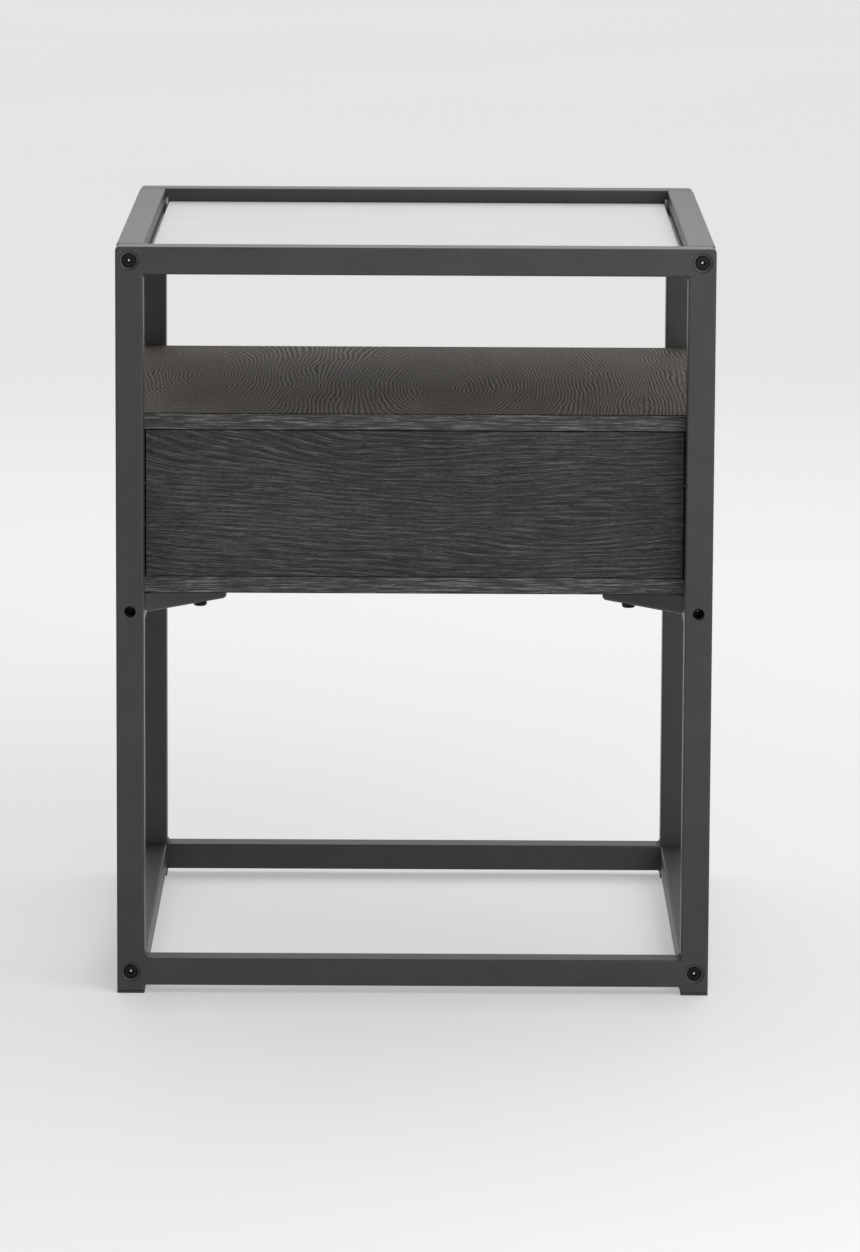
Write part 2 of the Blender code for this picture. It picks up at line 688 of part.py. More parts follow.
def make_glass():
    """The glass plate and the silicone bumpers it rests on."""
    x = INNER_X - GLASS_MARGIN
    y = INNER_Y - GLASS_MARGIN
    make_panel("glass_top", (-x, -y, GLASS_LOW), (x, y, GLASS_HIGH), "glass", edge=GLASS_EDGE)
    foot_high = GLASS_LOW - GAP
    foot_low = foot_high - BUMPER_FOOT
    for end, side in corners():
        wall = side * (INNER_X - GAP)
        foot_x = sorted((wall, wall - side * BUMPER_REACH))
        leg_x = sorted((wall, side * (x + GAP)))
        near = end * TAB_Y - BUMPER_LENGTH / 2
        far = near + BUMPER_LENGTH
        name = f"glass_bumper_{end_name(end)}_{side_name(side)}"
        mesh = mesh_of(name, [box((foot_x[0], near, foot_low), (foot_x[1], far, foot_high))])
        bumper = add_piece(name, mesh, "clear_silicone")
        fuse(bumper, "leg", [box((leg_x[0], near, foot_low + BUMPER_FOOT / 2),
                                 (leg_x[1], far, GLASS_HIGH + BUMPER_ABOVE_GLASS))])


def build():
    """Make the whole table."""
    make_metalwork()
    places = []
    for end, side in corners():
        place, low, label = make_gusset(end, side)
        make_gusset_screw(place, low, label)
        places.append(place)
    make_box(places)
    slide = empty("drawer_slide", (0.0, -BOX_HALF_Y, RUNNER_HEIGHT))
    make_drawer(slide)
    make_runners(slide)
    make_latch()
    make_glass()


build()
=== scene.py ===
"""Looks of the side table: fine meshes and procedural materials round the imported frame.

Metres, +Z up, the front faces -Y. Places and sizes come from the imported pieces' boxes.
"""

import math

import bmesh
import bpy
from mathutils import Matrix, Vector, noise


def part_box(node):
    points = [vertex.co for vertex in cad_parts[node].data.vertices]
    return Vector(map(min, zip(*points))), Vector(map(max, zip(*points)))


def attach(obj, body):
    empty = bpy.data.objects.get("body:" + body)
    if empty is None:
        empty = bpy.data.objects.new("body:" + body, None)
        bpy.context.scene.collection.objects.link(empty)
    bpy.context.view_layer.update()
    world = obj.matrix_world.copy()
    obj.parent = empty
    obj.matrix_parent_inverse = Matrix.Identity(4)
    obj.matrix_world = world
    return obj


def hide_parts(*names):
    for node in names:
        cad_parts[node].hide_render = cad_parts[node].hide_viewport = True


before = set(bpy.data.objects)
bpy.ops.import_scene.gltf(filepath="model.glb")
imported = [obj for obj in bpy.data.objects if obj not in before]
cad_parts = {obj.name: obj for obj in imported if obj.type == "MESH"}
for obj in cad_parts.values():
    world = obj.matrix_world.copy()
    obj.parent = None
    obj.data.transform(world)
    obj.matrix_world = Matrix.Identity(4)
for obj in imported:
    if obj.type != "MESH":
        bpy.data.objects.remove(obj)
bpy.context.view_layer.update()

# Sizes read from the frame
FRONT_LOW, FRONT_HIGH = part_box("front_frame")
RAIL_LOW, RAIL_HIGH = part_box("bottom_rail_left")
TUBE = RAIL_HIGH.z - RAIL_LOW.z
HALF_WIDTH = FRONT_HIGH.x
HEIGHT = FRONT_HIGH.z
INNER_X = HALF_WIDTH - TUBE
CLEARANCE = RAIL_LOW.z

# Sizes that only the looks need
TUBE_RADIUS = 0.0015
TUBE_STEPS = 5
FRAME_CORNER = 0.003
FRAME_CORNER_STEPS = 6
RIGHT_ANGLED = math.radians(40.0)
ROUND_STEPS = 48
BOARD_ARRIS = 0.0006
SMOOTH_ANGLE = math.radians(35.0)
SLIVER = 0.00001
GAP = 0.0003

SEAT_DEPTH = 0.0052
DISH_DEPTH = 0.0014
DISH_WIDTH = 0.0021
DISH_STEPS = 7
DISH_STEP_DEGREES = 13.0
HOLE_RADIUS = 0.004
HOLE_LIP = 0.0005
HOLE_WALL = 0.0019
TOOL_OUT = 0.002

BEAD_LEG = 0.0023
BEAD_STEPS = 28
BEAD_SINK = 0.0004
BEAD_HOLLOW = 0.86
BEAD_TURN = 0.15

END_HOLE_RADIUS = 0.0033
END_HOLE_DEPTH = 0.006
TAB_REACH = 0.009
TAB_ROOT = 0.001
TAB_HALF = 0.008
TAB_SHEET = 0.002
TAB_CORNER = 0.003

FOOT_FLANGE = 0.002
FOOT_EDGE = 0.0007
STEM_INSET = 0.0018
STEM_EDGE = 0.0008
SOLE_HOLLOW = 0.0005
SOLE_INNER = 0.0055
SOLE_OUTER = 0.0065

RING_PITCH = 0.001
RING_HEIGHT = 0.00028
SOCKET_DEPTH = 0.0022
DRILL_SHARE = 0.52
CORNER_HEAD = 0.0033
CORNER_SHANK = 0.003
CORNER_SOCKET = 0.0023
CORNER_EDGE = 0.0007
MID_HEAD = 0.004
MID_SHANK = 0.002
MID_SOCKET = 0.0017
MID_EDGE = 0.0004
PAN_HEAD = 0.003
PAN_SHANK = 0.0022
PAN_EDGE = 0.0016
RECESS_ARM = 0.0026
RECESS_HALF = 0.0006
RECESS_DEPTH = 0.0016

GUSSET_TIP = 0.006
GUSSET_SHEET = 0.002
GUSSET_BEND = 0.003
GUSSET_HOLE = 0.0026
GUSSET_STEPS = 5

CHANNEL_BEND = 0.0016
RUNNER_SHEET = 0.0012
RUNNER_SCREW_RADIUS = 0.0032
RUNNER_SCREW_HEIGHT = 0.00105
CAGE_SHEET = 0.0008
BALL_RADIUS = 0.0013
BALL_SPACING = 0.024
BALL_SINK = 0.0004
BALL_INSET = 0.0029

PLATE_CORNER = 0.003
PLATE_ARRIS = 0.0007
BUMPER_FOOT = 0.0009
BUMPER_FOOT_EDGE = 0.0003
BUMPER_LEG_EDGE = 0.0008
BUMPER_OVERLAP = 0.0002


# Mesh tools


def block(edit, low, high, radius=0.0, segments=3, keep=None):
    """Add a block between two corners. Its edges, or those that keep() picks, are rounded."""
    low, high = Vector(low), Vector(high)
    size = Matrix.Diagonal((*(high - low), 1.0))
    made = bmesh.ops.create_cube(edit, size=1.0, matrix=Matrix.Translation((low + high) / 2) @ size)
    edges = {edge for vert in made["verts"] for edge in vert.link_edges if keep is None or keep(edge)}
    if radius:
        bmesh.ops.bevel(edit, geom=list(edges), offset=radius, segments=segments,
                        profile=0.5, affect="EDGES", clamp_overlap=True)


def turn(edit, profile, place, axis, steps=ROUND_STEPS):
    """Add a solid turned from (radius, height) points that start and end on the axis."""
    spin = Matrix.Translation(place) @ Vector(axis).to_track_quat("Z", "Y").to_matrix().to_4x4()
    rings = []
    for radius, height in profile:
        count = steps if radius > 0.0 else 1
        rings.append([
            edit.verts.new(spin @ Vector((radius * math.cos(math.tau * step / steps),
                                          radius * math.sin(math.tau * step / steps), height)))
            for step in range(count)])
    for first, second in zip(rings, rings[1:]):
        join_rings(edit, first, second)


def join_rings(edit, first, second):
    """Fill the strip between two rings of points; either may be a single point."""
    count = max(len(first), len(second))
    for step in range(count):
        following = (step + 1) % count
        if len(first) == 1:
            corners = [first[0], second[following], second[step]]
        elif len(second) == 1:
            corners = [first[step], first[following], second[0]]
        else:
            corners = [first[step], first[following], second[following], second[step]]
        edit.faces.new(corners)


def loft(edit, sections):
    """Add a solid through closed sections of equal length, with both ends capped."""
    rings = [[edit.verts.new(point) for point in section] for section in sections]
    for first, second in zip(rings, rings[1:]):
        join_rings(edit, first, second)
    edit.faces.new(rings[0])
    edit.faces.new(rings[-1])


def arc(centre, radius, start, end, steps):
    """Points along an arc in a plane, angles in radians."""
    angles = [start + (end - start) * step / steps for step in range(steps + 1)]
    return [(centre[0] + radius * math.cos(angle), centre[1] + radius * math.sin(angle))
            for angle in angles]


def to_object(name, edit):
    """Make an object from an edit mesh, with its faces pointing out."""
    bmesh.ops.recalc_face_normals(edit, faces=edit.faces)
    mesh = bpy.data.meshes.new(name)
    edit.to_mesh(mesh)
    edit.free()
    made = bpy.data.objects.new(name, mesh)
    bpy.context.scene.collection.objects.link(made)
    return made


def shape(name, add, *args, **words):
    """Make an object from one of the shape tools."""
    edit = bmesh.new()
    add(edit, *args, **words)
    return to_object(name, edit)


def combine(target, tool, operation="DIFFERENCE"):
    """Cut a tool from a piece, or join it on, and remove the tool."""
    modifier = target.modifiers.new("combine", "BOOLEAN")
    modifier.operation = operation
    modifier.solver = "EXACT"
    modifier.object = tool
    bake(target)
    bpy.data.objects.remove(tool, do_unlink=True)


def bake(target):
    """Turn a piece's modifiers into its mesh, without slivers."""
    evaluated = target.evaluated_get(bpy.context.evaluated_depsgraph_get())
    mesh = bpy.data.meshes.new_from_object(evaluated)
    target.modifiers.clear()
    edit = bmesh.new()
    edit.from_mesh(mesh)
    bmesh.ops.remove_doubles(edit, verts=edit.verts, dist=SLIVER)
    bmesh.ops.dissolve_degenerate(edit, edges=edit.edges, dist=SLIVER)
    edit.to_mesh(mesh)
    edit.free()
    target.data = mesh


def saw_off(target, height):
    """Cut a piece off level at a height, and close the cut ends."""
    edit = bmesh.new()
    edit.from_mesh(target.data)
    everything = edit.verts[:] + edit.edges[:] + edit.faces[:]
    cut = bmesh.ops.bisect_plane(edit, geom=everything, plane_co=(0.0, 0.0, height),
                                 plane_no=(0.0, 0.0, 1.0), clear_inner=True)
    rims = [item for item in cut["geom_cut"] if isinstance(item, bmesh.types.BMEdge)]
    bmesh.ops.edgeloop_fill(edit, edges=rims)
    bmesh.ops.recalc_face_normals(edit, faces=edit.faces)
    edit.to_mesh(target.data)
    edit.free()


def centre_of(node):
    """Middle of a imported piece's box."""
    low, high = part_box(node)
    return (low + high) / 2


def dress(piece, body, nodes, slot, *materials, pick=None):
    """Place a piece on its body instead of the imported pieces, with its materials."""
    piece.data.materials.clear()
    for material in materials:
        piece.data.materials.append(material)
    for face in piece.data.polygons:
        face.material_index = pick(face) if pick else 0
    piece.data.shade_smooth()
    piece.data.set_sharp_from_angle(angle=SMOOTH_ANGLE)
    weighted = piece.modifiers.new("weighted", "WEIGHTED_NORMAL")
    weighted.keep_sharp = True
    weighted.weight = 100
    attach(piece, body)
    if nodes:
        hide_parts(*nodes)
    return piece


def main_axis(face):
    """0, 1 or 2 for a face that looks along X, Y or Z."""
    sizes = [abs(value) for value in face.normal]
    return sizes.index(max(sizes))


# Materials


class Surface:
    """One Principled material and the maps that feed it, in the piece's own coordinates."""

    def __init__(self, name, roughness=0.5, metallic=0.0, **sockets):
        self.material = bpy.data.materials.new(name)
        self.material.use_nodes = True
        self.tree = self.material.node_tree
        self.shader = self.tree.nodes["Principled BSDF"]
        self.shader.inputs["Roughness"].default_value = roughness
        self.shader.inputs["Metallic"].default_value = metallic
        for socket, value in sockets.items():
            self.shader.inputs[socket.replace("_", " ")].default_value = value
        self.place = self.add("ShaderNodeTexCoord").outputs["Object"]

    def add(self, kind, *values, **settings):
        """Add a node, feed its first inputs and set its properties."""
        made = self.tree.nodes.new(kind)
        for key, value in settings.items():
            setattr(made, key, value)
        for socket, value in zip(made.inputs, values):
            self.feed(socket, value)
        return made

    def feed(self, socket, value):
        """Link an output to a socket, or set its value."""
        if isinstance(value, bpy.types.NodeSocket):
            self.tree.links.new(value, socket)
        else:
            socket.default_value = value

    def math(self, operation, *values):
        """A math node's result."""
        return self.add("ShaderNodeMath", *values, operation=operation).outputs[0]

    def scaled(self, sizes):
        """The place divided by a size along each axis."""
        inverse = tuple(1.0 / size for size in sizes)
        return self.add("ShaderNodeVectorMath", self.place, inverse, operation="MULTIPLY").outputs[0]

    def noise(self, sizes, detail=2.0, roughness=0.5):
        """Noise from 0 to 1 whose features have these sizes along the axes."""
        return self.noise_at(self.scaled(sizes), detail, roughness)

    def noise_at(self, vector, detail=2.0, roughness=0.5):
        """Noise from 0 to 1 at a vector, with features about one unit in size."""
        made = self.add("ShaderNodeTexNoise")
        self.feed(made.inputs["Vector"], vector)
        made.inputs["Scale"].default_value = 1.0
        made.inputs["Detail"].default_value = detail
        made.inputs["Roughness"].default_value = roughness
        return made.outputs["Fac"]

    def spread(self, value, low, high):
        """Map 0..1 to a range."""
        return self.math("MULTIPLY_ADD", value, high - low, low)

    def centred(self, value, amount):
        """Map 0..1 to plus and minus half an amount."""
        return self.spread(value, -amount / 2, amount / 2)

    def total(self, *values):
        """Add values up."""
        result = values[0]
        for value in values[1:]:
            result = self.math("ADD", result, value)
        return result

    def colour(self, value, stops):
        """Colour the surface by a value, through (position, colour) stops."""
        made = self.add("ShaderNodeValToRGB", value)
        ramp = made.color_ramp
        for element, (position, colour) in zip(ramp.elements, (stops[0], stops[-1])):
            element.position = position
            element.color = (*colour, 1.0)
        for position, colour in stops[1:-1]:
            ramp.elements.new(position).color = (*colour, 1.0)
        self.feed(self.shader.inputs["Base Color"], made.outputs["Color"])

    def rough(self, value, low, high):
        """Vary the roughness between two values."""
        self.feed(self.shader.inputs["Roughness"], self.spread(value, low, high))

    def bump(self, height, distance, strength=1.0):
        """Raise the surface by a height map."""
        made = self.add("ShaderNodeBump")
        made.inputs["Strength"].default_value = strength
        made.inputs["Distance"].default_value = distance
        self.feed(made.inputs["Height"], height)
        self.feed(self.shader.inputs["Normal"], made.outputs["Normal"])


def grey(tone, warmth=0.0):
    """A linear grey, warmer where warmth is above zero."""
    return (tone * (1.0 + warmth), tone, tone * (1.0 - warmth))


def powder_coat():
    """Fine-textured dark grey powder coat: orange peel, a little mottling, duller in patches."""
    surface = Surface("powder_coat", roughness=0.42, Specular_IOR_Level=0.36)
    peel = surface.noise((0.0016, 0.0016, 0.0016), 3.0)
    patches = surface.noise((0.030, 0.030, 0.030), 2.0)
    fine = surface.noise((0.00045, 0.00045, 0.00045), 1.0)
    tone = surface.total(surface.centred(peel, 0.5), surface.centred(patches, 0.5), fine)
    surface.colour(tone, [(0.2, grey(0.028, 0.01)), (0.5, grey(0.037, 0.01)),
                          (0.85, grey(0.050, 0.01))])
    surface.rough(surface.total(surface.centred(patches, 0.4), peel), 0.34, 0.46)
    surface.bump(surface.total(peel, surface.centred(fine, 0.7)), 0.00013, 0.8)
    return surface.material


def black_oxide():
    """Oiled black screws, rubbed a little brighter in places."""
    surface = Surface("black_oxide", roughness=0.38, metallic=0.5, Specular_IOR_Level=0.3)
    rub = surface.noise((0.0009, 0.0009, 0.0009), 3.0, 0.6)
    surface.colour(rub, [(0.35, grey(0.004)), (0.62, grey(0.009)), (0.8, grey(0.04))])
    surface.rough(rub, 0.30, 0.50)
    surface.bump(rub, 0.00003, 0.5)
    return surface.material


def bare_steel():
    """Bright steel at the bottom of a socket."""
    surface = Surface("bare_steel", roughness=0.3, metallic=1.0)
    rings = surface.noise((0.0004, 0.0004, 0.0004), 2.0)
    surface.colour(rings, [(0.3, grey(0.75)), (0.7, grey(0.95))])
    surface.bump(rings, 0.00002, 0.4)
    return surface.material


def zinc():
    """Bright zinc plate with a faint rolled grain and spangle."""
    surface = Surface("zinc_plate", roughness=0.3, metallic=1.0)
    rolled = surface.noise((0.0004, 0.040, 0.0004), 2.0)
    spangle = surface.noise((0.006, 0.006, 0.006), 1.0)
    tone = surface.total(surface.centred(rolled, 0.5), spangle)
    surface.colour(tone, [(0.25, (0.44, 0.45, 0.46)), (0.75, (0.66, 0.67, 0.68))])
    surface.rough(tone, 0.22, 0.40)
    surface.bump(rolled, 0.00002, 0.5)
    return surface.material


def black_plastic():
    """Moulded black plastic with a fine spark-eroded texture."""
    surface = Surface("black_plastic", roughness=0.48)
    texture = surface.noise((0.0005, 0.0005, 0.0005), 3.0)
    surface.colour(texture, [(0.3, grey(0.018)), (0.7, grey(0.028))])
    surface.rough(texture, 0.40, 0.56)
    surface.bump(texture, 0.00004, 0.6)
    return surface.material


def pale_plastic():
    """Moulded pale grey plastic."""
    surface = Surface("pale_plastic", roughness=0.45)
    texture = surface.noise((0.0008, 0.0008, 0.0008), 3.0)
    surface.colour(texture, [(0.3, grey(0.56, 0.02)), (0.7, grey(0.64, 0.02))])
    surface.rough(texture, 0.38, 0.52)
    surface.bump(texture, 0.00004, 0.5)
    return surface.material


def drawer_foil():
    """Plain mid-grey foil of the drawer box, with a linen emboss."""
    surface = Surface("drawer_foil", roughness=0.6)
    along = surface.noise((0.020, 0.0008, 0.0008), 2.0)
    across = surface.noise((0.0008, 0.020, 0.0008), 2.0)
    upright = surface.noise((0.0008, 0.0008, 0.020), 2.0)
    weave = surface.total(surface.centred(along, 0.7), surface.centred(across, 0.7), upright)
    surface.colour(weave, [(0.2, grey(0.115, 0.03)), (0.8, grey(0.165, 0.03))])
    surface.rough(weave, 0.54, 0.68)
    surface.bump(weave, 0.00006, 0.7)
    return surface.material


def silicone():
    """Clear soft silicone, slightly cloudy."""
    surface = Surface("clear_silicone", roughness=0.25, Transmission_Weight=0.7, IOR=1.41)
    cloud = surface.noise((0.003, 0.003, 0.003), 2.0)
    surface.colour(cloud, [(0.3, grey(0.80)), (0.7, grey(0.90))])
    surface.rough(cloud, 0.2, 0.4)
    return surface.material


def satin_glass():
    """Satin white tempered glass: nearly opaque, with a fine etched tooth and faint clouds."""
    surface = Surface("satin_glass", roughness=0.42, Specular_IOR_Level=0.45, IOR=1.5,
                      Subsurface_Weight=0.15, Subsurface_Radius=(0.003, 0.003, 0.003),
                      Subsurface_Scale=1.0)
    clouds = surface.noise((0.090, 0.060, 0.060), 2.0)
    tooth = surface.noise((0.0006, 0.0006, 0.0006), 2.0)
    tone = surface.total(surface.centred(tooth, 0.4), clouds)
    surface.colour(tone, [(0.25, (0.635, 0.645, 0.642)), (0.8, (0.670, 0.680, 0.677))])
    surface.rough(tooth, 0.36, 0.48)
    surface.bump(tooth, 0.00002, 0.4)
    return surface.material


AXES = "XYZ"


def grain_sizes(along, length, width):
    """Sizes for noise drawn out along one axis."""
    return tuple(length if axis == along else width for axis in AXES)


def oak_foil(name, along, across, eyes, stretch, spacing, tones, contrast, streak, waviness, shine):
    """Dark oak foil. Growth rings run in long ovals round each eye, and the streaks follow them.

    Each eye is given as (along, across). Between two eyes the rings straighten out and turn over.
    """
    surface = Surface(name, roughness=0.5, Specular_IOR_Level=shine)
    parts = surface.add("ShaderNodeSeparateXYZ", surface.place).outputs
    wander = surface.noise(grain_sizes(along, 0.150, 0.045), 1.0, 0.5)
    ripple = surface.noise(grain_sizes(along, 0.030, 0.012), 2.0, 0.5)
    wobble = surface.noise(grain_sizes(along, 0.011, 0.0055), 1.0, 0.5)
    offset = surface.total(parts[across], surface.centred(wander, 0.020),
                           surface.centred(ripple, 0.0032 * waviness),
                           surface.centred(wobble, 0.0012 * waviness))
    distances = []
    for eye_along, eye_across in eyes:
        lengthwise = surface.math("MULTIPLY_ADD", parts[along], 1.0 / stretch, -eye_along / stretch)
        sideways = surface.math("SUBTRACT", offset, eye_across)
        squares = surface.total(surface.math("MULTIPLY", lengthwise, lengthwise),
                                surface.math("MULTIPLY", sideways, sideways))
        distances.append(surface.math("SQRT", squares))
    rings = distances[0]
    if len(eyes) == 2:
        (first_along, first), (second_along, second) = eyes
        reach = math.hypot((second_along - first_along) / stretch, second - first)
        inward = surface.math("SUBTRACT", reach, distances[1])
        share = surface.add("ShaderNodeMapRange", offset, first, second, 0.0, 1.0,
                            interpolation_type="SMOOTHSTEP").outputs[0]
        rings = surface.math("MULTIPLY_ADD", surface.math("SUBTRACT", inward, rings), share, rings)
    wave = surface.math("SINE", surface.math("MULTIPLY", rings, math.tau / spacing))
    fade = surface.spread(surface.noise(grain_sizes(along, 0.050, 0.012), 1.0), -0.2, 1.6)
    line = surface.math("MULTIPLY", wave, surface.math("MULTIPLY", fade, contrast))
    grain = surface.add("ShaderNodeCombineXYZ", surface.math("DIVIDE", parts[along], 0.030),
                        surface.math("DIVIDE", rings, 0.00068), 0.0).outputs[0]
    streaks = surface.noise_at(grain, 3.0, 0.62)
    hairs = surface.noise(grain_sizes(along, 0.010, 0.00045), 2.0, 0.6)
    pores = surface.math("SUBTRACT", surface.noise(grain_sizes(along, 0.0045, 0.00035), 1.0), 0.56)
    pits = surface.math("MULTIPLY", surface.math("MAXIMUM", pores, 0.0), -3.2)
    clouds = surface.noise(grain_sizes(along, 0.120, 0.040), 2.0)
    tone = surface.total(line, surface.centred(streaks, streak), surface.centred(hairs, 0.4), pits,
                         surface.centred(clouds, 0.35), 0.54)
    dark, middle, light = tones
    surface.colour(tone, [(0.1, dark), (0.5, middle), (0.95, light)])
    surface.rough(tone, 0.70, 0.58)
    surface.bump(tone, 0.00022, 0.5)
    return surface.material


def edge_band(name, along, tones):
    """Edge band: short bright and dark dashes along the edge."""
    surface = Surface(name, roughness=0.5, Specular_IOR_Level=0.35)
    dashes = surface.noise(grain_sizes(along, 0.022, 0.00075), 3.0, 0.6)
    hairs = surface.noise(grain_sizes(along, 0.006, 0.0005), 2.0, 0.6)
    tone = surface.total(surface.centred(dashes, 2.2), surface.centred(hairs, 0.7), 0.5)
    dark, middle, light = tones
    surface.colour(tone, [(0.1, dark), (0.55, middle), (0.95, light)])
    surface.rough(tone, 0.56, 0.42)
    surface.bump(tone, 0.00022, 0.6)
    return surface.material


def scraped_and_shaded_arris():
    """The corner of a banded board, nearly black: partly a scraped edge, partly painted shade along the
    board's edges and under it.
    """
    surface = Surface("scraped_and_shaded_arris", roughness=0.8, Specular_IOR_Level=0.1)
    chips = surface.noise((0.004, 0.004, 0.0008), 3.0)
    surface.colour(chips, [(0.3, grey(0.006, 0.05)), (0.75, grey(0.020, 0.05))])
    surface.bump(chips, 0.0001, 0.5)
    return surface.material


PAINT = powder_coat()
OXIDE = black_oxide()
BARE = bare_steel()
ZINC = zinc()
PLASTIC = black_plastic()
PALE = pale_plastic()
FOIL = drawer_foil()
SILICONE = silicone()
GLASS = satin_glass()
SHADED_ARRIS = scraped_and_shaded_arris()

# The shelf foil is the drawer front's foil in lighter tones: painted light on the boards' flat tops.
SHELF_PAINTED_LIGHT_TONES = (grey(0.034, 0.14), grey(0.083, 0.14), grey(0.150, 0.14))
FRONT_TONES = (grey(0.009), grey(0.026), grey(0.095))
BAND_TONES = (grey(0.010), grey(0.040), grey(0.180))
SHELF_OAK_PAINTED_LIGHT = oak_foil("shelf_oak_painted_light", "Y", "X", [(0.02, -0.163), (-0.04, 0.022)], 3.4, 0.0028,
                     SHELF_PAINTED_LIGHT_TONES, 0.48, 0.6, 1.2, 0.08)
FRONT_OAK = oak_foil("front_oak", "X", "Z", [(0.06, 0.445)], 5.0, 0.0037,
                     FRONT_TONES, 0.14, 2.0, 0.30, 0.3)
SIDE_OAK = oak_foil("side_oak", "Y", "Z", [(0.07, 0.235)], 5.0, 0.0034,
                    FRONT_TONES, 0.14, 2.0, 0.30, 0.3)
BAND_X = edge_band("edge_band_x", "X", BAND_TONES)
BAND_Y = edge_band("edge_band_y", "Y", BAND_TONES)
BAND_Z = edge_band("edge_band_z", "Z", BAND_TONES)


# Frames


def side_name(side):
    """Name the left (-1) or right (+1) side."""
    return "left" if side < 0 else "right"


def end_name(end):
    """Name the front (-1) or back (+1) end."""
    return "front" if end < 0 else "back"


CORNERS = [(end, side) for end in (-1, 1) for side in (-1, 1)]


def make_frame(end):
    """A welded ring with rounded tube edges, dished screw seats and round access holes."""
    node = f"{end_name(end)}_frame"
    low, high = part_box(node)

    def upper_edge(edge):
        a, b = (vert.co for vert in edge.verts)
        return min(a.z, b.z) > high.z - FRAME_CORNER and abs(a.y - b.y) > TUBE / 2

    reach = TUBE
    ring = shape(f"{node}_tube", block, (low.x, low.y, low.z - reach), high,
                 FRAME_CORNER, FRAME_CORNER_STEPS, upper_edge)
    combine(ring, shape("window", block, (-INNER_X, low.y - reach, CLEARANCE + TUBE),
                        (INNER_X, high.y + reach, HEIGHT - TUBE)))
    combine(ring, shape("under", block, (-INNER_X, low.y - reach, low.z - 2 * reach),
                        (INNER_X, high.y + reach, CLEARANCE)))
    edges = ring.modifiers.new("edges", "BEVEL")
    edges.width = TUBE_RADIUS
    edges.segments = TUBE_STEPS
    edges.limit_method = "ANGLE"
    edges.angle_limit = RIGHT_ANGLED
    bake(ring)
    saw_off(ring, low.z)
    outside = low.y if end < 0 else high.y
    for side in (-1, 1):
        for level in ("top", "bottom"):
            screw = f"corner_screw_{end_name(end)}_{level}_{side_name(side)}"
            cut_screw_seat(ring, screw, end, outside)
        cut_access_hole(ring, f"mid_screw_{end_name(end)}_{side_name(side)}", end, outside)
    dress(ring, "frame", [node], "powder_coat", PAINT)


def cut_screw_seat(ring, screw, end, outside):
    """Press a dish round a corner screw, with a hole for its head."""
    middle = centre_of(screw)
    low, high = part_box(screw)
    head = (high.x - low.x) / 2 + GAP
    rim = head + DISH_WIDTH
    bowl = [(head + DISH_WIDTH * math.cos(angle), -DISH_DEPTH * math.sin(angle))
            for angle in (math.radians(90.0 - DISH_STEP_DEGREES * step) for step in range(DISH_STEPS))]
    profile = [(0.0, -SEAT_DEPTH), (head, -SEAT_DEPTH)] + bowl
    profile += [(rim, DISH_DEPTH * 0.2), (rim, TOOL_OUT), (0.0, TOOL_OUT)]
    seat = shape("seat", turn, profile, (middle.x, outside, middle.z), (0.0, end, 0.0))
    combine(ring, seat)


def cut_access_hole(ring, screw, end, outside):
    """Drill the hole through which a middle screw is reached."""
    middle = centre_of(screw)
    depth = TUBE - HOLE_WALL
    mouth = HOLE_RADIUS + 1.5 * HOLE_LIP
    profile = [(0.0, -depth), (HOLE_RADIUS, -depth), (HOLE_RADIUS, -HOLE_LIP), (mouth, HOLE_LIP / 2),
               (mouth, TOOL_OUT), (0.0, TOOL_OUT)]
    combine(ring, shape("hole", turn, profile, (middle.x, outside, middle.z), (0.0, end, 0.0)))


def bead(edit, corner, inwards, length):
    """A rippled fillet weld along Y in an inner corner of a frame."""
    sections = []
    for step in range(BEAD_STEPS + 1):
        y = corner.y + length * (step / BEAD_STEPS - 0.5)
        uneven = noise.noise((corner.x * 90, step * 0.45, corner.z * 90))
        ripple = 0.10 * math.sin(step * 1.9) + 0.35 * uneven
        taper = min(1.0, 0.45 + 3.0 * min(step, BEAD_STEPS - step) / BEAD_STEPS)
        leg = BEAD_LEG * (1.0 + ripple) * taper
        outline = [(-BEAD_SINK, -BEAD_SINK), (leg, -BEAD_SINK)]
        outline += arc((leg, leg), leg * BEAD_HOLLOW, -math.pi / 2 - BEAD_TURN, -math.pi + BEAD_TURN, 5)
        outline += [(-BEAD_SINK, leg)]
        sections.append([(corner.x + inwards[0] * a, y, corner.z + inwards[1] * b) for a, b in outline])
    loft(edit, sections)


def make_welds(end):
    """The beads inside a frame's corners and under its bottom rail."""
    edit = bmesh.new()
    low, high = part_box(f"{end_name(end)}_frame")
    middle = (low.y + high.y) / 2
    length = TUBE - 2 * TUBE_RADIUS
    for side in (-1, 1):
        for height, up in ((CLEARANCE + TUBE, 1), (HEIGHT - TUBE, -1), (CLEARANCE, -1)):
            bead(edit, Vector((side * INNER_X, middle, height)), (-side, up), length)
    welds = to_object(f"{end_name(end)}_frame_welds", edit)
    dress(welds, "frame", [], "powder_coat", PAINT)


def make_rail(level, side):
    """A side rail with rounded edges and a drilled plate in each end; top rails have tabs."""
    node = f"{level}_rail_{side_name(side)}"
    low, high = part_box(node)
    outer = side * HALF_WIDTH
    inner = side * INNER_X
    left, right = sorted((outer, inner))
    rail = shape(f"{node}_tube", block, (left, low.y, low.z), (right, high.y, high.z),
                 TUBE_RADIUS, TUBE_STEPS)
    middle = Vector(((left + right) / 2, 0.0, (low.z + high.z) / 2))
    for end in (-1, 1):
        place = (middle.x, end * high.y, middle.z)
        profile = [(0.0, -END_HOLE_DEPTH), (END_HOLE_RADIUS, -END_HOLE_DEPTH),
                   (END_HOLE_RADIUS, TOOL_OUT / 2), (0.0, TOOL_OUT / 2)]
        combine(rail, shape("end_hole", turn, profile, place, (0.0, end, 0.0), 24))
        if level == "top":
            add_tab(rail, side, end)
    dress(rail, "frame", [node], "powder_coat", PAINT)


